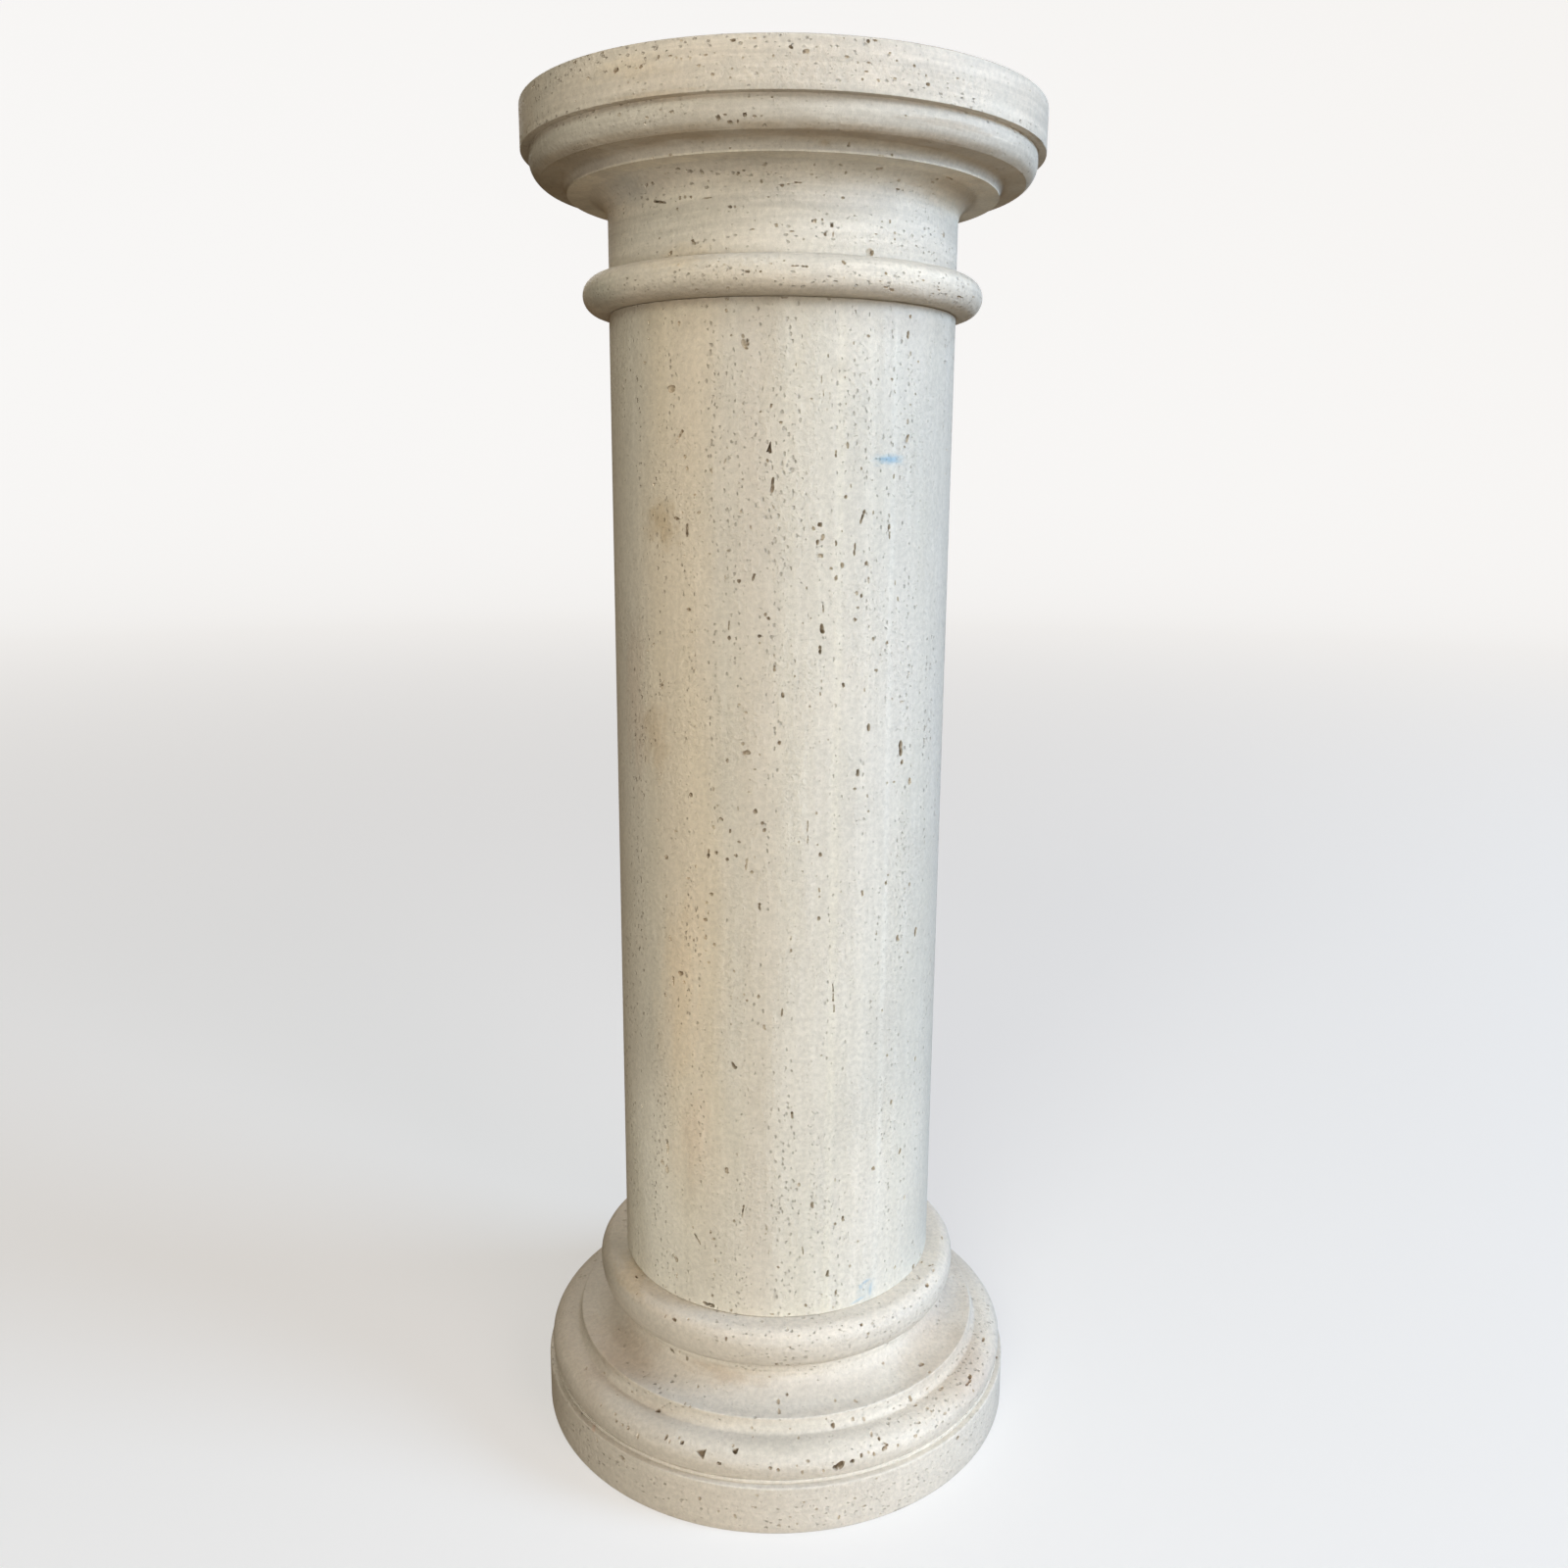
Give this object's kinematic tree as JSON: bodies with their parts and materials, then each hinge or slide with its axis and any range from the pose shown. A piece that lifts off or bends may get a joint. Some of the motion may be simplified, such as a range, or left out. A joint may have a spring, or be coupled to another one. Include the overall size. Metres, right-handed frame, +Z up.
{
  "type": "travertine column",
  "caption": "Freestanding round stone pedestal column with moulded base, plain shaft and moulded capital, for carrying a bust, urn or plant.",
  "frame": {"origin": "on the floor, on the column's axis, at the middle of the underside", "axes": "+Z up along the column's axis; -Y is the side that the picture shows"},
  "size_m": [0.3828, 0.3828, 1],
  "materials": {
    "base_travertine": "honed, open-pored",
    "shaft_travertine": "honed, open-pored",
    "capital_travertine": "honed, open-pored"
  },
  "bodies": {
    "root": {"base": "base_travertine", "shaft": "shaft_travertine", "capital": "capital_travertine"}
  },
  "joints": []
}
